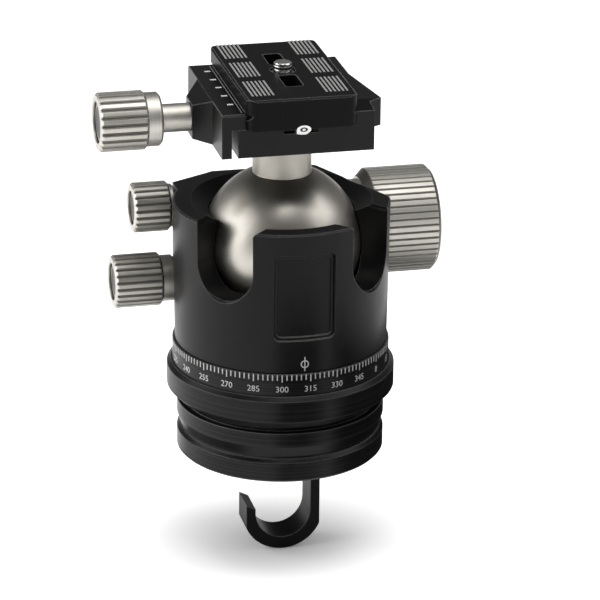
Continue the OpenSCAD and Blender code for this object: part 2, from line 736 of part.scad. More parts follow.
module pan_knob_cap() color(dark_plastic) at_pan() translate([0, 0, pan_x + pan_len - cap_depth])
  knob_cap(pan_cap_r);

module pan_screw() color(bright_steel) at_pan() translate([0, 0, wedge_end_x])
  cylinder(r = pan_screw_r, h = pan_x + pan_len - cap_depth - wedge_end_x);

// Everything above the slope between the wedge and the pin, moved up by gap
module above_slope(gap) translate([-pin_x, knob_back, pan_knob_z + gap]) rotate([0, -45, 0])
  translate([-rim_r, -rim_r, 0]) cube([rim_d, rim_d, rim_d]);

module brake_wedge() color(brass_tone) intersection() {
  at_pan() translate([0, 0, wedge_tip_x]) cylinder(r = pan_screw_r, h = wedge_end_x - wedge_tip_x);
  above_slope(fit);
}

module brake_pin() color(brass_tone) difference() {
  translate([-pin_x, knob_back, scale_top + fit])
    cylinder(r = pin_r, h = pan_knob_z + pin_r - scale_top - fit);
  above_slope(0);
}

module pin_bore() translate([-pin_x, knob_back, housing_z - over])
  cylinder(r = pin_r + fit, h = pan_knob_z + pin_r + pin_lift + over - housing_z);

// Clamp knob
clamp_collar_len = 5.2;
clamp_collar_big_r = 9.3;
clamp_cap_r = 7.2;
clamp_ridges = 22;
clamp_edge = 0.8;
clamp_shaft_len = 10.4;
clamp_screw_in = 13;
clamp_knob_len = clamp_collar_len + clamp_grip_len;
clamp_knob_x = jaw_boss_x + clamp_shaft_len;

module at_clamp() translate([0, 0, clamp_screw_z]) minus_x() children();

module clamp_knob() color(light_metal) at_clamp() translate([0, 0, clamp_knob_x])
  knob_shell(clamp_knob_d / 2, clamp_grip_len, clamp_collar_big_r, clamp_collar_len, clamp_edge, clamp_edge,
    clamp_ridges, wide_groove_share, clamp_edge, clamp_edge, clamp_cap_r, clamp_screw_r);

module clamp_knob_cap() color(dark_plastic) at_clamp()
  translate([0, 0, clamp_knob_x + clamp_knob_len - cap_depth]) knob_cap(clamp_cap_r);

module clamp_screw() color(light_metal) at_clamp() {
  translate([0, 0, body_left - clamp_screw_in])
    cylinder(r = clamp_screw_r, h = clamp_knob_x + clamp_knob_len - cap_depth - body_left + clamp_screw_in);
  translate([0, 0, jaw_boss_x + fit]) cylinder(r = clamp_shaft_r, h = clamp_shaft_len - fit);
}

// Quick-release plate

plate_corner = 3.5;
plate_edge = 0.6;
waist_w = plate_w - 2 * dove_h;
slot_w = 6.2;
slot_near = 5.9;
slot_far = 18.6;
slot_corner = 1.2;
camera_screw_r = 3.175;
camera_screw_up = 2.9;
camera_screw_edge = 0.5;
camera_screw_len = plate_h + camera_screw_up - fit;
camera_head_r = 6;
camera_head_h = 3;
clip_r = 4.3;
clip_h = 0.6;
clip_depth = 1.2;
clip_groove = 0.6;
stop_r = 1.5;
stop_head_r = 2.5;
stop_head_h = 3.4;
stop_up = 1.6;
stop_room = 0.4;
stop_grip = 5;
stop_in = 0.1;
stop_socket_r = 1;
stop_y = plate_len / 2 - stop_in - stop_head_r;
plate_stop_reach = clamp_half + plate_travel + stop_head_r + fit - stop_y;

module plate() color(black_anodised) difference() {
  intersection() {
    rotate([90, 0, 0]) translate([0, 0, -plate_len / 2]) linear_extrude(plate_len)
      polygon([for (s = [1, -1]) each (s > 0 ? plate_side(1) : reverse(plate_side(-1)))]);
    translate([0, 0, deck_z]) linear_extrude(plate_h) rounded_square(plate_w, plate_len, plate_corner);
    // Bevels of the two ends' top edges
    rotate([90, 0, 90]) translate([0, 0, -plate_w]) linear_extrude(2 * plate_w) translate([0, deck_z])
      polygon([[-plate_len / 2, 0], [plate_len / 2, 0], [plate_len / 2, plate_h - plate_edge],
        [plate_len / 2 - plate_edge, plate_h], [plate_edge - plate_len / 2, plate_h],
        [-plate_len / 2, plate_h - plate_edge]]);
  }
  // Hole of the camera screw, wider below for its head and above for its clip
  translate([0, 0, deck_z - over]) cylinder(r = camera_screw_r + fit, h = plate_h + 2 * over);
  translate([0, 0, deck_z - over]) cylinder(r = camera_head_r + fit, h = camera_head_h + over + 2 * fit);
  translate([0, 0, plate_top - clip_depth]) cylinder(r = clip_r + fit, h = clip_depth + over);
  // The two slots in front of and behind it
  for (s = [-1, 1]) translate([0, s * (slot_near + slot_far) / 2, deck_z - over])
    linear_extrude(plate_h + 2 * over) rounded_square(slot_w, slot_far - slot_near, slot_corner);
  for (s = [-1, 1]) translate([0, s * stop_y, deck_z - over]) {
    cylinder(r = stop_r, h = over + stop_up + stop_grip);
    cylinder(r = stop_head_r + stop_room, h = over + stop_up);
  }
}

function reverse(list) = [for (i = [len(list) - 1:-1:0]) list[i]];
function plate_side(s) = [[s * plate_w / 2, deck_z], [s * plate_w / 2, deck_z + dove_lip],
  [s * waist_w / 2, deck_z + dove_lip + dove_h], [s * waist_w / 2, jaw_top + seam],
  [s * plate_w / 2, jaw_top + 2 * seam], [s * plate_w / 2, plate_top - plate_edge],
  [s * (plate_w / 2 - plate_edge), plate_top]];

module stop_screws() color(bright_steel) for (s = [-1, 1]) translate([0, s * stop_y, deck_z + stop_up])
  mirror([0, 0, 1]) socket_screw(stop_head_r, stop_head_h, stop_r, stop_grip, stop_socket_r);

module camera_screw() color(bright_steel) difference() {
  translate([0, 0, deck_z + fit]) union() {
    cylinder(r = camera_head_r, h = camera_head_h);
    turned([[0, 0], [camera_screw_r, 0], [camera_screw_r, camera_screw_len - camera_screw_edge],
      [camera_screw_r - camera_screw_edge, camera_screw_len], [0, camera_screw_len]]);
  }
  translate([0, 0, deck_z - over]) cylinder(r = camera_screw_r, h = over + camera_head_h / 2, $fn = 6);
  translate([0, 0, plate_top - clip_depth - fit])
    tube(camera_head_r, camera_screw_r - clip_groove, clip_h + 2 * fit);
}

module camera_screw_clip() color(bright_steel) translate([0, 0, plate_top - clip_depth])
  tube(clip_r, camera_screw_r - clip_groove + fit, clip_h);

apex_plate();
centre_bolt();
centre_bolt_washer();
pan_base();
scale_ring();
pan_washer();
pan_retainer();
retainer_screws();
hook_swivel();
hook();
hook_nut();
housing();
housing_floor();
floor_screws();
seat_spring();
ball_seat();
ball_plug();
ball();
clamp_body();
clamp_bolt();
clamp_dowels();
guide_rods();
jaw();
clamp_screw();
clamp_knob();
clamp_knob_cap();
plate();
stop_screws();
camera_screw();
camera_screw_clip();
lock_shoe();
lock_screw();
lock_knob();
lock_knob_cap();
drag_pad();
drag_screw();
drag_knob();
drag_knob_cap();
brake_pin();
brake_wedge();
pan_screw();
pan_knob();
pan_knob_cap();
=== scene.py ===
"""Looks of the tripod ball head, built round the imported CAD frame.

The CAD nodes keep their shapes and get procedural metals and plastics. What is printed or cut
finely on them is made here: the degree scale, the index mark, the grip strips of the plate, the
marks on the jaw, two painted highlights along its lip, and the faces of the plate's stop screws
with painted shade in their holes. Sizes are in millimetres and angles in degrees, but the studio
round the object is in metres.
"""

import math

import bmesh
import bpy
from mathutils import Matrix, Vector


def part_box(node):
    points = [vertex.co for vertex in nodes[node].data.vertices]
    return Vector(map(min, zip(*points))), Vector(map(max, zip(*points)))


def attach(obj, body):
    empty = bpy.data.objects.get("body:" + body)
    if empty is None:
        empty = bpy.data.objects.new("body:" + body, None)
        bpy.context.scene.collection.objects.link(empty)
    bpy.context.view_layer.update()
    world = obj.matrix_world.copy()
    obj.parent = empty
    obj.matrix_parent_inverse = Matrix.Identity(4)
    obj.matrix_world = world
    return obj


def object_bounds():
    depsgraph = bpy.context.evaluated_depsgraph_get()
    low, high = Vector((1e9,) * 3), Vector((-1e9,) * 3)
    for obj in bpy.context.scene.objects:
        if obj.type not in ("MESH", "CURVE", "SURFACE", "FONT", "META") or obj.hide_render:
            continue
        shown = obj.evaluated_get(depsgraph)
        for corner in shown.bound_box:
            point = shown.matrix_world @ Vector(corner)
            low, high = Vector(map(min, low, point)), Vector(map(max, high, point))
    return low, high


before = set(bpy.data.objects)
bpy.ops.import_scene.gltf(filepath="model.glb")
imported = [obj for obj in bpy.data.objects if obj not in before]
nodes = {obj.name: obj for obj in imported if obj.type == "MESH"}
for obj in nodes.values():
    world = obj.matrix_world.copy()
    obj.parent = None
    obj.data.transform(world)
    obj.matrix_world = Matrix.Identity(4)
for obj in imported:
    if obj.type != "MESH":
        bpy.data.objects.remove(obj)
cad_low, cad_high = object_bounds()

MM = 0.001
X, Y, Z = 0, 1, 2
AXIS_OF_HEAD = (0.0, 0.0, 0.0)


def box_mm(node):
    """Lowest and highest corner of a CAD node at rest, in millimetres."""
    low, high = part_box(node)
    return Vector(low) / MM, Vector(high) / MM


def centre_of(node):
    """Middle of a CAD node's box, in millimetres."""
    low, high = box_mm(node)
    return tuple((low + high) / 2)


# Node trees

BEVEL_SAMPLES = 6
NOISE_DETAIL = 3.0
NOISE_ROUGHNESS = 0.55
WHOLE = (0.0, 1.0)


class Nodes:
    """Short calls that add nodes to a tree. Each gives the socket that carries its result."""

    def __init__(self, tree):
        self.tree = tree

    def give(self, socket, value):
        """Feeds a socket with another socket or with a constant."""
        if isinstance(value, bpy.types.NodeSocket):
            self.tree.links.new(value, socket)
        else:
            socket.default_value = value

    def node(self, kind, inputs=(), **settings):
        made = self.tree.nodes.new("ShaderNode" + kind)
        for key, value in settings.items():
            setattr(made, key, value)
        for key, value in dict(inputs).items():
            self.give(made.inputs[key], value)
        return made

    def calc(self, operation, a, b=0.0):
        return self.node("Math", {0: a, 1: b}, operation=operation).outputs[0]

    def ramp(self, value, to, over=WHOLE):
        """Takes value from the range over to the range to, and stops at its ends."""
        return self.node("MapRange", {"Value": value, "From Min": over[0], "From Max": over[1],
                                      "To Min": to[0], "To Max": to[1]}).outputs["Result"]

    def blend(self, share, a, b):
        """Colour a, or b where share is 1."""
        return self.node("Mix", {0: share, 6: a, 7: b}, data_type="RGBA").outputs[2]

    def coordinates(self, kind):
        return self.node("TexCoord").outputs[kind]

    def ray_is(self, *kinds):
        """1 for rays of any of the kinds, such as Camera or Glossy, and 0 for the others."""
        path = self.node("LightPath")
        found = path.outputs[f"Is {kinds[0]} Ray"]
        for kind in kinds[1:]:
            found = self.calc("MAXIMUM", found, path.outputs[f"Is {kind} Ray"])
        return found


class Look(Nodes):
    """A node material with a Principled shader, and short calls for what feeds it."""

    def __init__(self, name):
        self.material = bpy.data.materials.new(name)
        self.material.use_nodes = True
        super().__init__(self.material.node_tree)

    def shade(self, **inputs):
        """Feeds the shader and gives the finished material."""
        shader = self.tree.nodes["Principled BSDF"]
        for key, value in inputs.items():
            self.give(shader.inputs[key.replace("_", " ")], value)
        return self.material

    def noise(self, scale, detail=NOISE_DETAIL, vector=None):
        """Noise in the object's own space, where scale counts its spots per metre."""
        return self.node("TexNoise", {"Vector": vector or self.coordinates("Object"),
                                      "Scale": scale, "Detail": detail,
                                      "Roughness": NOISE_ROUGHNESS}).outputs["Fac"]

    def round_line(self, axis, centre):
        """Distance from a line along axis through centre (mm), and the place on it, in metres."""
        split = self.node("SeparateXYZ", {0: self.coordinates("Object")})
        squares = []
        for way in (i for i in (X, Y, Z) if i != axis):
            off = self.calc("SUBTRACT", split.outputs[way], centre[way] * MM)
            squares.append(self.calc("MULTIPLY", off, off))
        return self.calc("SQRT", self.calc("ADD", *squares)), split.outputs[axis]

    def turned(self, axis, centre, scale):
        """Noise in rings about a line along axis through centre (mm): the marks of turning."""
        radius, along = self.round_line(axis, centre)
        rings = self.node("CombineXYZ", {0: radius, 1: along}).outputs[0]
        return self.noise(scale, FINE_DETAIL, rings)

    def uneven(self, value, level, swing, over=WHOLE):
        """level, changed by between swing[0] and swing[1] as value goes through the range over."""
        return self.ramp(value, (level + swing[0], level + swing[1]), over)

    def soft_normal(self, radius):
        """The surface's normal, with its edges rounded to a radius (mm)."""
        return self.node("Bevel", {"Radius": radius * MM}, samples=BEVEL_SAMPLES).outputs[0]

    def bump(self, height, strength, distance, round_edge=None):
        """The normal over bumps distance high (mm), with the edges rounded to round_edge (mm)."""
        inputs = {"Height": height, "Strength": strength, "Distance": distance * MM}
        if round_edge:
            inputs["Normal"] = self.soft_normal(round_edge)
        return self.node("Bump", inputs).outputs[0]

    def groove_grime(self, axis, centre, edge_r, depth, start, end):
        """1 in the grooves of a round grip from start to end (mm) along axis, where they get a
        painted shade, 0 elsewhere.
        """
        radius, along = self.round_line(axis, centre)
        below = self.ramp(radius, (1.0, 0.0),
                          ((edge_r - depth) * MM, (edge_r - GROOVE_SHADE_TOP * depth) * MM))
        after = self.calc("GREATER_THAN", along, start * MM)
        before = self.calc("LESS_THAN", along, end * MM)
        return self.calc("MULTIPLY", below, self.calc("MULTIPLY", after, before))

    def worn_edge(self, radius):
        """1 on edges that look up or out, where the finish wears and a painted highlight lies, 0 on
        faces.
        """
        soft = self.soft_normal(radius)
        true = self.node("NewGeometry").outputs["Normal"]
        match = self.node("VectorMath", {0: soft, 1: true}, operation="DOT_PRODUCT")
        rise = self.node("SeparateXYZ", {0: soft}).outputs[Z]
        return self.calc("MULTIPLY", self.ramp(match.outputs["Value"], (1.0, 0.0), EDGE_MATCH),
                         self.ramp(rise, (EDGE_LEAST, 1.0), EDGE_RISE))


# Materials. A swing is how far a roughness goes below and above its level. A bump is its
# strength, its height (mm) and, on the black metal, the rounding of the edges (mm)

FINE_DETAIL = 2.0
CLOUD_DETAIL = 4.0
# The ranges of a noise that its ramps are laid over
NOISE_SPAN = (0.3, 0.7)
CLOUD_EDGE = (0.35, 0.65)
WEAR_AND_HIGHLIGHT_GRAIN = (0.3, 0.6)
RING_EDGE = (0.45, 0.65)
TARNISH_EDGE = (0.35, 0.75)
THIN_EDGE = (0.45, 0.75)

# Edge wear and painted highlight of the black metal, strongest on edges that look up: how wide
# it is, how far the rounded normal leaves the true one there, how far it looks up, and the least
# share that it has where it doesn't
EDGE_WEAR_AND_HIGHLIGHT = 0.60
EDGE_MATCH = (0.86, 0.994)
EDGE_RISE = (0.1, 0.5)
EDGE_LEAST = 0.15
WEAR_AND_HIGHLIGHT_LEAST = 0.5

BLACK_GRAIN = 5200.0
BLACK_CLOUD = 90.0
BLACK_TURNING = 2600.0
BLACK_RINGS = 900.0
BLACK_LIFT = 1.5
BLACK_ROUGH = 0.36
BLACK_ROUGH_CUT = 0.34
BLACK_CLOUD_SWING = (-0.04, 0.05)
BLACK_GRAIN_SWING = (-0.05, 0.05)
BLACK_BUMP = (0.16, 0.012, 0.3)
ANODISED_SHINE = 0.16
MATT_SHINE = 0.07
# How much of the pale tone of the edges' wear and painted highlight shows along the rings that
# turning left
RING_SHARE = 0.05


def anodised(name, lines=None, rough=BLACK_ROUGH, shine=ANODISED_SHINE):
    """Black anodised aluminium: fine grain, or turning lines about the axis and centre of lines."""
    look = Look(name)
    grain = look.noise(BLACK_GRAIN, FINE_DETAIL)
    cloud = look.noise(BLACK_CLOUD, CLOUD_DETAIL)
    fine = look.turned(*lines, BLACK_TURNING) if lines else grain
    lifted = (*(BLACK_LIFT * c for c in BLACK[:3]), 1.0)
    colour = look.blend(look.ramp(cloud, WHOLE, CLOUD_EDGE), BLACK, lifted)
    # Paler edges: wear, with a painted highlight that is strongest on those that look up
    wear_and_highlight = look.calc("MULTIPLY", look.worn_edge(EDGE_WEAR_AND_HIGHLIGHT),
                     look.ramp(grain, (WEAR_AND_HIGHLIGHT_LEAST, 1.0), WEAR_AND_HIGHLIGHT_GRAIN))
    colour = look.blend(wear_and_highlight, colour, BLACK_WEAR_HIGHLIGHT_AND_RING_TONE)
    if lines:
        rings = look.ramp(look.turned(*lines, BLACK_RINGS), (0.0, RING_SHARE), RING_EDGE)
        colour = look.blend(rings, colour, BLACK_WEAR_HIGHLIGHT_AND_RING_TONE)
    roughness = look.calc("ADD", look.uneven(cloud, rough, BLACK_CLOUD_SWING, NOISE_SPAN),
                          look.ramp(fine, BLACK_GRAIN_SWING, NOISE_SPAN))
    return look.shade(Base_Color=colour, Roughness=roughness, Specular_IOR_Level=shine,
                      Normal=look.bump(look.calc("ADD", fine, grain), *BLACK_BUMP))


METAL_GRAIN = 6000.0
METAL_CLOUD = 140.0
METAL_TURNING = 3600.0
METAL_CLOUD_SWING = (-0.03, 0.04)
METAL_GRAIN_SWING = (-0.05, 0.06)
METAL_BUMP_HIGH = 0.010
METAL_ROUND = 0.18
TARNISH_SHARE = 0.35
# Painted shade in a grip's grooves starts at this share of their depth
GROOVE_SHADE_TOP = 0.15
NECK_BLEND = 0.6


def bare_metal(name, base, dark, rough, lines=None, bump=0.2, grip=None, neck_from=None):
    """Uncoated metal: brushed in rings about a line, or blasted to a satin grain.

    grip holds the edge radius, groove depth, start and end of a ridged stretch, whose grooves
    get a painted shade. neck_from is the height (mm) from which a painted shade darkens the neck.
    """
    look = Look(name)
    cloud = look.noise(METAL_CLOUD, CLOUD_DETAIL)
    fine = look.turned(*lines, METAL_TURNING) if lines else look.noise(METAL_GRAIN, FINE_DETAIL)
    colour = look.blend(look.ramp(fine, WHOLE, NOISE_SPAN), dark, base)
    colour = look.blend(look.ramp(cloud, (0.0, TARNISH_SHARE), TARNISH_EDGE), colour, dark)
    # Painted shade on the neck, from the height neck_from up
    if neck_from:
        along = look.round_line(Z, AXIS_OF_HEAD)[1]
        neck_shade = look.ramp(along, WHOLE, ((neck_from - NECK_BLEND) * MM, neck_from * MM))
        colour = look.blend(neck_shade, colour, NECK_SHADE)
    if grip:
        # Painted shade in the grip's grooves
        colour = look.blend(look.groove_grime(*lines, *grip), colour, GROOVE_SHADE)
    roughness = look.calc("ADD", look.uneven(cloud, rough, METAL_CLOUD_SWING, NOISE_SPAN),
                          look.ramp(fine, METAL_GRAIN_SWING, NOISE_SPAN))
    return look.shade(Base_Color=colour, Roughness=roughness, Metallic=1.0,
                      Normal=look.bump(fine, bump, METAL_BUMP_HIGH, METAL_ROUND))


THREAD_SWING = (-0.04, 0.06)
THREAD_EDGE = (-0.6, 0.5)
THREAD_BUMP = (0.5, 0.15)


def threaded(name, base, dark, rough, pitch, top):
    """Steel screw along Z: bands of painted shade a pitch apart in the thread's valleys, with a
    light one at its top (mm).
    """
    look = Look(name)
    along = look.round_line(Z, AXIS_OF_HEAD)[1]
    turns = look.calc("MULTIPLY", look.calc("SUBTRACT", along, top * MM), math.tau / (pitch * MM))
    crest = look.calc("COSINE", turns)
    grain = look.noise(METAL_GRAIN, FINE_DETAIL)
    colour = look.blend(look.ramp(crest, (1.0, 0.0), THREAD_EDGE), base, dark)
    return look.shade(Base_Color=colour, Roughness=look.uneven(grain, rough, THREAD_SWING),
                      Metallic=1.0, Normal=look.bump(crest, *THREAD_BUMP))


MOULD_GRAIN = 3400.0
MOULD_CLOUD = 260.0
MOULD_SWING = (-0.08, 0.08)
MOULD_BUMP = (0.15, 0.02)


def plastic(name, base, pale, rough):
    """Moulded plastic with a fine grain."""
    look = Look(name)
    grain = look.noise(MOULD_GRAIN)
    colour = look.blend(look.ramp(look.noise(MOULD_CLOUD), WHOLE, NOISE_SPAN), base, pale)
    return look.shade(Base_Color=colour, Roughness=look.uneven(grain, rough, MOULD_SWING),
                      Normal=look.bump(grain, *MOULD_BUMP))


CAP_ROUGH = (0.36, 0.50)
CAP_BUMP = (0.12, 0.015)


def end_cap(name, axis, centre, core):
    """Cap of a knob: dark plastic out to the radius core (mm), and a metal rim round it."""
    look = Look(name)
    rim = look.calc("GREATER_THAN", look.round_line(axis, centre)[0], core * MM)
    grain = look.noise(MOULD_GRAIN)
    return look.shade(Base_Color=look.blend(rim, PLASTIC_BLACK, CAP_RIM), Metallic=rim,
                      Roughness=look.ramp(grain, CAP_ROUGH), Normal=look.bump(grain, *CAP_BUMP))


INK_GRAIN = 2600.0
INK_ROUGH = (0.45, 0.65)
INK_BUMP = (0.1, 0.01)
THIN_SHARE = 0.6


def print_paint(name, base, wear_and_highlight):
    """The off-white ink of marks, and the paint of painted highlight lines, a little uneven where
    it is thin.
    """
    look = Look(name)
    thin = look.noise(INK_GRAIN, CLOUD_DETAIL)
    colour = look.blend(look.ramp(thin, (0.0, THIN_SHARE), THIN_EDGE), base, wear_and_highlight)
    return look.shade(Base_Color=colour, Roughness=look.ramp(thin, INK_ROUGH),
                      Normal=look.bump(thin, *INK_BUMP))


BLACK = (0.0048, 0.0048, 0.0051, 1.0)
BLACK_WEAR_HIGHLIGHT_AND_RING_TONE = (0.25, 0.247, 0.24, 1.0)
KNOB_METAL = (0.59, 0.57, 0.525, 1.0)
KNOB_DARK = (0.50, 0.482, 0.44, 1.0)
GROOVE_SHADE = (0.10, 0.096, 0.085, 1.0)
CAP_RIM = (0.36, 0.345, 0.31, 1.0)
BALL_METAL = (0.52, 0.497, 0.45, 1.0)
BALL_DARK = (0.46, 0.437, 0.395, 1.0)
NECK_SHADE = (0.34, 0.325, 0.29, 1.0)
STEEL = (0.70, 0.70, 0.69, 1.0)
STEEL_DARK = (0.45, 0.45, 0.45, 1.0)
THREAD_VALLEY_SHADE = (0.10, 0.10, 0.10, 1.0)
BRASS = (0.66, 0.47, 0.20, 1.0)
BRASS_DARK = (0.42, 0.28, 0.11, 1.0)
PLASTIC_BLACK = (0.012, 0.012, 0.012, 1.0)
PLASTIC_PALE = (0.024, 0.024, 0.024, 1.0)
INK = (0.78, 0.78, 0.77, 1.0)
INK_WORN = (0.42, 0.42, 0.41, 1.0)
STRIP = (0.36, 0.36, 0.355, 1.0)
STRIP_WORN = (0.20, 0.20, 0.20, 1.0)
LIP_HIGHLIGHT = (0.30, 0.30, 0.295, 1.0)
LIP_HIGHLIGHT_DIM = (0.16, 0.16, 0.16, 1.0)

KNOB_ROUGH = 0.46
BALL_ROUGH = 0.38
STEEL_ROUGH = 0.24
THREAD_ROUGH = 0.26
BRASS_ROUGH = 0.30
PLASTIC_ROUGH = 0.42
# Bump of the knobs and the ball, which are finished more smoothly than the other metals
SMOOTH_BUMP = 0.05
CAMERA_PITCH = 1.27
NECK_Z = 102.0

black_blasted = anodised("black_blasted")
black_milled = anodised("black_milled", rough=BLACK_ROUGH_CUT)
black_matt = anodised("black_matt", shine=MATT_SHINE)
black_turned = anodised("black_turned", lines=(Z, AXIS_OF_HEAD), rough=BLACK_ROUGH_CUT)
ball_satin = bare_metal("ball_satin", BALL_METAL, BALL_DARK, BALL_ROUGH, bump=SMOOTH_BUMP,
                        neck_from=NECK_Z)
steel = bare_metal("steel", STEEL, STEEL_DARK, STEEL_ROUGH)
brass = bare_metal("brass", BRASS, BRASS_DARK, BRASS_ROUGH)
camera_thread = threaded("camera_thread", STEEL, THREAD_VALLEY_SHADE, THREAD_ROUGH, CAMERA_PITCH,
                         box_mm("camera_screw")[1].z)
moulded_and_hole_shade = plastic("moulded_and_hole_shade", PLASTIC_BLACK, PLASTIC_PALE, PLASTIC_ROUGH)
ink = print_paint("ink", INK, INK_WORN)
grip_rubber = print_paint("grip_rubber", STRIP, STRIP_WORN)
lip_highlight = print_paint("lip_highlight", LIP_HIGHLIGHT, LIP_HIGHLIGHT_DIM)

FINISHES = {
    black_blasted: ["housing", "housing_floor"],
    black_milled: ["clamp_body", "jaw"],
    black_matt: ["plate", "hook"],
    black_turned: ["apex_plate", "pan_base", "scale_ring"],
    ball_satin: ["ball"],
    steel: ["centre_bolt", "centre_bolt_washer", "pan_retainer", "retainer_screws", "hook_nut",
            "floor_screws", "seat_spring", "ball_plug", "clamp_bolt", "clamp_dowels",
            "guide_rods", "stop_screws", "camera_screw_clip", "lock_screw", "drag_screw",
            "pan_screw"],
    camera_thread: ["camera_screw"],
    brass: ["hook_swivel", "lock_shoe", "drag_pad", "brake_pin", "brake_wedge"],
    moulded_and_hole_shade: ["pan_washer", "ball_seat", "lock_knob_cap"],
}

# Radius of the dark middle of each small knob's cap
CORE_OF_CAP = {"clamp_knob_cap": 5.6, "drag_knob_cap": 4.7, "pan_knob_cap": 5.0}
# Each knob's plain collar, next to what it screws into, and the depth of its grooves
COLLAR_AND_GROOVE = {"lock_knob": (4.8, 0.43), "drag_knob": (2.0, 0.63),
                     "pan_knob": (5.0, 0.62), "clamp_knob": (5.2, 0.73)}
GRIP_RIM = 0.5


def brushed(node, grip=None):
    """Metal of a knob or its shaft, brushed about the line along X through the node's middle."""
    return bare_metal(node + "_brushed", KNOB_METAL, KNOB_DARK, KNOB_ROUGH, bump=SMOOTH_BUMP,
                      lines=(X, centre_of(node)), grip=grip)


def grip_of(knob, collar, groove):
    """Edge radius, groove depth, start and end of a knob's ridges, on either side of the head."""
    low, high = box_mm(knob)
    edge_r = (high.z - low.z) / 2
    if low.x > 0:
        return edge_r, groove, low.x + collar, high.x - GRIP_RIM
    return edge_r, groove, low.x + GRIP_RIM, high.x - collar


for cap, core in CORE_OF_CAP.items():
    FINISHES[end_cap(cap + "_look", X, centre_of(cap), core)] = [cap]
for knob, (collar, groove) in COLLAR_AND_GROOVE.items():
    FINISHES[brushed(knob, grip_of(knob, collar, groove))] = [knob]
FINISHES[brushed("clamp_screw")] = ["clamp_screw"]

for finish, names in FINISHES.items():
    for name in names:
        for material_slot in nodes[name].material_slots:
            material_slot.material = finish


# Meshes of the pieces that the scene adds

# How far printed marks stand out of a surface, and how far they reach into it
PROUD = 0.03
SUNK = 0.06
RING_SIDES = 40
OVAL_SIDES = 32
FIGURE_STEPS = 4


def add_piece(name, bm, body, material):
    """Makes one object of a mesh in millimetres, which rides on body."""
    bmesh.ops.recalc_face_normals(bm, faces=bm.faces)
    bmesh.ops.scale(bm, vec=(MM, MM, MM), verts=bm.verts)
    mesh = bpy.data.meshes.new(name)
    bm.to_mesh(mesh)
    bm.free()
    mesh.materials.append(material)
    piece = bpy.data.objects.new(name, mesh)
    bpy.context.scene.collection.objects.link(piece)
    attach(piece, body)


def join_rings(bm, low, high):
    """Faces between two rings of vertices of equal count."""
    count = len(low)
    for i in range(count):
        after = (i + 1) % count
        bm.faces.new((low[i], low[after], high[after], high[i]))


def closed_shell(bm, rings):
    """A closed solid through rings of points of equal count, capped at both ends."""
    made = [[bm.verts.new(p) for p in ring] for ring in rings]
    for low, high in zip(made, made[1:]):
        join_rings(bm, low, high)
    bm.faces.new(reversed(made[0]))
    bm.faces.new(made[-1])


def on_wall(azimuth, radius, z):
    """The point at an azimuth round the head: 0 is the front, 90 the locking knob's side."""
    turn = math.radians(azimuth)
    return Vector((radius * math.sin(turn), -radius * math.cos(turn), z))


def section(width, proud):
    """Corners of a mark's cross-section: how far across it and how far out of the wall."""
    half = width / 2
    return (-half, -SUNK), (half, -SUNK), (half, proud), (-half, proud)


def wall_bar(bm, azimuth, width, low, high, wall_r, proud):
    """An upright bar on a round wall."""
    closed_shell(bm, [[on_wall(azimuth + math.degrees(across / wall_r), wall_r + out, z)
                       for across, out in section(width, proud)] for z in (low, high)])


def wall_ring(bm, z, radius, width, wall_r, proud):
    """A flat ring on the front of a round wall, centred at the height z."""
    rings = []
    for i in range(RING_SIDES):
        turn = math.tau * i / RING_SIDES
        ring = []
        for across, out in section(width, proud):
            reach = radius + across
            azimuth = math.degrees(reach * math.cos(turn) / wall_r)
            ring.append(bm.verts.new(on_wall(azimuth, wall_r + out, z + reach * math.sin(turn))))
        rings.append(ring)
    for low, high in zip(rings, rings[1:] + rings[:1]):
        join_rings(bm, low, high)


def flat_bar(bm, x, y, z, size, proud=PROUD):
    """A bar on a level face at the height z, of a size along X and Y."""
    dx, dy = size[0] / 2, size[1] / 2
    outline = ((-dx, -dy), (dx, -dy), (dx, dy), (-dx, dy))
    closed_shell(bm, [[Vector((x + across, y + along, z + out)) for across, along in outline]
                      for out in (-SUNK, proud)])


def end_oval(bm, y, z, size, proud):
    """An oval on the X axis, on an end face at y that looks away from the middle."""
    out = math.copysign(1.0, y)
    turns = [math.tau * i / OVAL_SIDES for i in range(OVAL_SIDES)]
    closed_shell(bm, [[Vector((size[0] * math.cos(t), y + out * depth, z + size[1] * math.sin(t)))
                       for t in turns] for depth in (-SUNK, proud)])


def glyph_mesh(text, height, thick):
    """Closed mesh of a line of figures, of a height, centred on its own origin in X."""
    curve = bpy.data.curves.new("figures", "FONT")
    curve.body = text
    curve.align_x = "CENTER"
    curve.size = 1.0
    curve.extrude = thick / 2
    curve.resolution_u = FIGURE_STEPS
    holder = bpy.data.objects.new("figures", curve)
    bpy.context.scene.collection.objects.link(holder)
    bpy.context.view_layer.update()
    evaluated = holder.evaluated_get(bpy.context.evaluated_depsgraph_get())
    mesh = bpy.data.meshes.new_from_object(evaluated)
    bpy.data.objects.remove(holder)
    bpy.data.curves.remove(curve)
    low = min(v.co.y for v in mesh.vertices)
    high = max(v.co.y for v in mesh.vertices)
    scale = height / (high - low)
    for v in mesh.vertices:
        v.co = Vector((v.co.x * scale, (v.co.y - low) * scale, v.co.z))
    return mesh


# The degree scale, printed on its ring: ticks at the top and a figure below each long one

scale_low, scale_high = box_mm("scale_ring")
SCALE_R = scale_high.x
TICK_STEP = 2.5
FIGURE_STEP = 15
TICK_W = 0.38
TICK_GAP = 0.15
TICK_H = 2.0
LONG_TICK_H = 2.6
FIGURE_H = 2.15
FIGURE_UP = 1.5
# The degree that stands at the front
FRONT_DEGREE = 312.0


def degree_ticks():
    bm = bmesh.new()
    top = scale_high.z - TICK_GAP
    for i in range(round(360 / TICK_STEP)):
        degrees = i * TICK_STEP
        tall = LONG_TICK_H if degrees % FIGURE_STEP == 0 else TICK_H
        wall_bar(bm, degrees - FRONT_DEGREE, TICK_W, top - tall, top, SCALE_R, PROUD)
    return bm


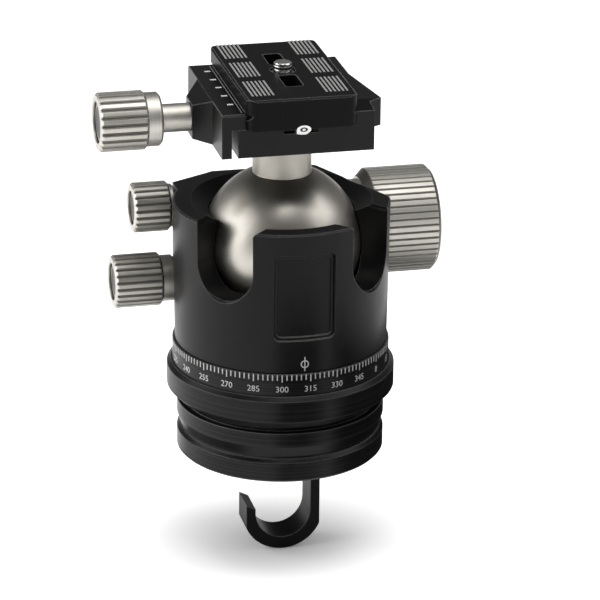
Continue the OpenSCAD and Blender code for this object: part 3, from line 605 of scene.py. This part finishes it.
def degree_figures():
    bm = bmesh.new()
    middle_r = SCALE_R + (PROUD - SUNK) / 2
    foot_z = scale_low.z + FIGURE_UP
    for degrees in range(0, 360, FIGURE_STEP):
        glyphs = glyph_mesh(str(degrees), FIGURE_H, PROUD + SUNK)
        for v in glyphs.vertices:
            azimuth = degrees - FRONT_DEGREE + math.degrees(v.co.x / SCALE_R)
            v.co = on_wall(azimuth, middle_r + v.co.z, foot_z + v.co.y)
        bm.from_mesh(glyphs)
        bpy.data.meshes.remove(glyphs)
    return bm


add_piece("degree_ticks", degree_ticks(), "base", ink)
add_piece("degree_figures", degree_figures(), "base", ink)

# The index mark near the foot of the housing: a ring with an upright line through it

HOUSING_FOOT_Z = box_mm("housing")[0].z
# Radius of the housing's wall there
HOUSING_R = 37.2
# Both ends of the line, above the foot
INDEX_LINE = (0.5, 5.7)
INDEX_RING_UP = 3.1
INDEX_RING_R = 1.25
INDEX_W = 0.38
INDEX_PROUD = 2 * PROUD


def index_mark():
    bm = bmesh.new()
    low, high = (HOUSING_FOOT_Z + up for up in INDEX_LINE)
    wall_bar(bm, 0.0, INDEX_W, low, high, HOUSING_R, INDEX_PROUD)
    wall_ring(bm, HOUSING_FOOT_Z + INDEX_RING_UP, INDEX_RING_R, INDEX_W, HOUSING_R, INDEX_PROUD)
    return bm


add_piece("index_mark", index_mark(), "housing", ink)

# Grip strips of the plate: two columns of three patches of narrow ribs

plate_low, plate_high = box_mm("plate")
PATCH_X = 12.75
PATCH_Y = 2.5
PATCH_PITCH = 21.3
PATCH_LEN = 16.2
RIB_W = 0.62
RIB_PITCH = 1.42
RIB_COUNT = 6
RIB_PROUD = 0.12


def grip_ribs():
    bm = bmesh.new()
    for side in (-1, 1):
        for row in (-1, 0, 1):
            y = PATCH_Y + row * PATCH_PITCH
            for i in range(RIB_COUNT):
                x = side * PATCH_X + (i - (RIB_COUNT - 1) / 2) * RIB_PITCH
                flat_bar(bm, x, y, plate_high.z, (RIB_W, PATCH_LEN), RIB_PROUD)
    return bm


add_piece("grip_ribs", grip_ribs(), "plate", grip_rubber)

# Marks on the jaw: five short dashes, and two painted highlights along the edges of its lip

jaw_low, jaw_high = box_mm("jaw")
MARK_X = -22.0
MARK_YS = (20.4, 10.9, 2.0, -7.4, -17.0)
MARK_SIZE = (2.1, 1.3)
LIP_XS = (-18.9, -20.0)
LIP_W = 0.32
LIP_END = 2.0


def jaw_marks():
    bm = bmesh.new()
    for y in MARK_YS:
        flat_bar(bm, MARK_X, y, jaw_high.z, MARK_SIZE)
    return bm


def jaw_lip_lines():
    bm = bmesh.new()
    middle = (jaw_low.y + jaw_high.y) / 2
    length = jaw_high.y - jaw_low.y - 2 * LIP_END
    for x in LIP_XS:
        flat_bar(bm, x, middle, jaw_high.z, (LIP_W, length))
    return bm


add_piece("jaw_marks", jaw_marks(), "jaw", ink)
# Two painted highlights along the jaw's lip
add_piece("jaw_lip_lines", jaw_lip_lines(), "jaw", lip_highlight)

# Faces of the plate's two stop screws, at its ends: a face, a dark oval of painted shade for the
# hole in it, and its middle. Each oval is given by half its width and half its height

STOP_FACE_UP = 0.1
STOP_Z = plate_low.z + STOP_FACE_UP
STOP_FACE = (2.5, 1.5)
STOP_HOLE_SHADE = (1.35, 0.8)
STOP_CORE = (0.55, 0.4)
STOP_PROUD = 0.35


def stop_ovals(*ovals):
    """Ovals, each a size and how far it stands out, at both ends of the plate."""
    bm = bmesh.new()
    for y in (plate_low.y, plate_high.y):
        for size, proud in ovals:
            end_oval(bm, y, STOP_Z, size, proud)
    return bm


stop_faces = stop_ovals((STOP_FACE, STOP_PROUD), (STOP_CORE, STOP_PROUD + 2 * PROUD))
stop_hole_shades = stop_ovals((STOP_HOLE_SHADE, STOP_PROUD + PROUD))
add_piece("stop_screw_faces", stop_faces, "plate", steel)
add_piece("stop_screw_hole_shades", stop_hole_shades, "plate", moulded_and_hole_shade)


# The studio, in metres

FLOOR_GAP = 0.0002
FLOOR_Z = cad_low[2] - FLOOR_GAP
FLOOR_SIZE = 12.0
# How far behind the head's axis the floor's origin, and so the middle of its painted shadow, lies
SHADOW_BACK = 0.001
FLOOR_TONE = (0.9, 0.9, 0.9, 1.0)
# The floor's own white is lower near the object, which paints a shadow there and lets its cast
# shadow show, and full further out
GLOW_BY_SHADOW = 0.02
GLOW_FAR = 0.90
GLOW_REACH = (0.0, 0.068)


def floor_white():
    """White to the camera, in reflections and through glass, with a painted shadow near the object,
    and a plain matt floor to lamps.
    """
    material = bpy.data.materials.new("floor_white")
    material.use_nodes = True
    material.node_tree.nodes.clear()
    build = Nodes(material.node_tree)
    reach = build.node("VectorMath", {0: build.coordinates("Object")}, operation="LENGTH")
    painted_shadow_glow = build.ramp(reach.outputs["Value"], (GLOW_BY_SHADOW, GLOW_FAR), GLOW_REACH)
    strength = build.calc("MULTIPLY", build.ray_is("Camera", "Glossy", "Transmission"), painted_shadow_glow)
    emission = build.node("Emission", {"Strength": strength})
    diffuse = build.node("BsdfDiffuse", {"Color": FLOOR_TONE})
    both = build.node("AddShader", {0: emission.outputs[0], 1: diffuse.outputs[0]})
    build.node("OutputMaterial", {"Surface": both.outputs[0]})
    return material


bpy.ops.mesh.primitive_plane_add(size=FLOOR_SIZE, location=(0, SHADOW_BACK, FLOOR_Z))
floor = bpy.context.object
floor.name = "floor"
floor.data.materials.append(floor_white())

# Dark cards that the camera doesn't see. They keep the floor's white out of the black metal and
# off the undersides of the knobs
CARD_TONE = (0.02, 0.02, 0.02, 1.0)
CARD_ROUGH = 0.9
CARD_UP = 0.0005
# Name, both ends (X, Y) and height of each card that stands on the floor
STANDING_CARDS = (
    ("card_right", (0.075, -0.10), (0.075, 0.12), 0.026),
    ("card_front", (-0.03, -0.11), (0.05, -0.11), 0.035),
)
# Name, lowest and highest X, and lowest and highest Y of each card that lies on it
LYING_CARDS = (
    ("card_below_right", (0.040, 0.110), (-0.06, 0.08)),
    ("card_below_left", (-0.085, -0.045), (-0.05, 0.07)),
)
card_black = Look("card_black").shade(Base_Color=CARD_TONE, Roughness=CARD_ROUGH)


def dark_card(name, points, diffuse):
    """A card through four points, unseen by the camera and the lamps.

    Mirroring surfaces see it, and matt ones too where diffuse is true.
    """
    mesh = bpy.data.meshes.new(name)
    mesh.from_pydata(points, [], [(0, 1, 2, 3)])
    mesh.materials.append(card_black)
    card = bpy.data.objects.new(name, mesh)
    card.visible_camera = False
    card.visible_shadow = False
    card.visible_diffuse = diffuse
    bpy.context.scene.collection.objects.link(card)


for name, start, end, top in STANDING_CARDS:
    outline = [(*start, FLOOR_Z), (*end, FLOOR_Z), (*end, top), (*start, top)]
    dark_card(name, outline, diffuse=True)
for name, (left, right), (front, rear) in LYING_CARDS:
    corners = ((left, front), (right, front), (right, rear), (left, rear))
    dark_card(name, [(*corner, FLOOR_Z + CARD_UP) for corner in corners], diffuse=False)

# A room that is a little paler behind the object, and dimmer overhead. ROOM_DEPTH and
# OVERHEAD_RISE are ranges of a direction's Y and Z, over which the tone changes
ROOM_TONES = (0.16, 0.18)
ROOM_DEPTH = (-0.25, 0.55)
OVERHEAD_SHARE = 0.17
OVERHEAD_RISE = (0.25, 0.85)
# How much of the room's light falls on surfaces that don't mirror it
AMBIENT_SHARE = 0.55
WHITE = (1.0, 1.0, 1.0, 1.0)


def studio_world():
    """A world that is white to the camera and a dim room to the object."""
    world = bpy.data.worlds.new("studio")
    world.use_nodes = True
    build = Nodes(world.node_tree)
    split = build.node("SeparateXYZ", {0: build.coordinates("Generated")})
    depth = build.ramp(split.outputs[Y], ROOM_TONES, ROOM_DEPTH)
    overhead = build.ramp(split.outputs[Z], (1.0, OVERHEAD_SHARE), OVERHEAD_RISE)
    room = build.calc("MULTIPLY", depth, overhead)
    share = build.ramp(build.ray_is("Glossy", "Transmission"), (AMBIENT_SHARE, 1.0))
    dimmed = build.calc("MULTIPLY", room, share)
    level = build.node("Mix", {0: build.ray_is("Camera"), 2: dimmed, 3: 1.0})
    background = world.node_tree.nodes["Background"]
    build.give(background.inputs["Strength"], level.outputs[0])
    build.give(background.inputs["Color"], WHITE)
    return world


bpy.context.scene.world = studio_world()

MIDDLE = (0.0, 0.0, 0.075)
LOCK_KNOB = (0.05, 0.0, 0.07)
# Name, place, the point that it is aimed at, width and height, and watts of each lamp
SOFTBOXES = (
    ("softbox_left", (-0.92, 0.10, 0.42), MIDDLE, (1.00, 0.90), 8.0),
    ("softbox_right", (0.76, -0.22, 0.74), MIDDLE, (0.70, 0.60), 2.9),
    ("softbox_top", (0.05, -0.10, 0.85), MIDDLE, (0.65, 0.60), 4.0),
    ("softbox_front", (0.14, -0.36, 0.090), LOCK_KNOB, (0.14, 0.10), 0.09),
)


def softbox(name, place, aim, size, watts):
    """A lit rectangle that faces a point, unseen by the camera."""
    lamp = bpy.data.lights.new(name, "AREA")
    lamp.shape = "RECTANGLE"
    lamp.size, lamp.size_y = size
    lamp.energy = watts
    holder = bpy.data.objects.new(name, lamp)
    holder.location = place
    holder.visible_camera = False
    holder.rotation_euler = (Vector(aim) - Vector(place)).to_track_quat("-Z", "Y").to_euler()
    bpy.context.scene.collection.objects.link(holder)


for settings in SOFTBOXES:
    softbox(*settings)

# The camera, from a fit of the photograph's lines: a long lens from the front, looking down.
# Its places are in millimetres
AZIMUTH = -13.368
ELEVATION = 21.269
ROLL = 0.580
DISTANCE = 1271.458
LENS = 218.2
SENSOR = 36.0
NEAREST = 10.0
AIM = (0.0, 0.0, 60.0)
AIM_ACROSS = 6.671
AIM_UP = -5.846


def photo_camera():
    az, el, roll = (math.radians(angle) for angle in (AZIMUTH, ELEVATION, ROLL))
    back = Vector((math.sin(az) * math.cos(el), -math.cos(az) * math.cos(el), math.sin(el)))
    right = Vector((math.cos(az), math.sin(az), 0.0))
    up = back.cross(right)
    across = right * math.cos(roll) + up * math.sin(roll)
    upward = up * math.cos(roll) - right * math.sin(roll)
    target = Vector(AIM) + across * AIM_ACROSS + upward * AIM_UP
    data = bpy.data.cameras.new("camera")
    data.sensor_width = SENSOR
    data.lens = LENS
    data.clip_start = NEAREST * MM
    camera = bpy.data.objects.new("camera", data)
    turn = Matrix((across, upward, back)).transposed().to_4x4()
    camera.matrix_world = Matrix.Translation((target + back * DISTANCE) * MM) @ turn
    bpy.context.scene.collection.objects.link(camera)
    return camera


bpy.context.scene.camera = photo_camera()
bpy.context.scene.view_settings.view_transform = "Standard"
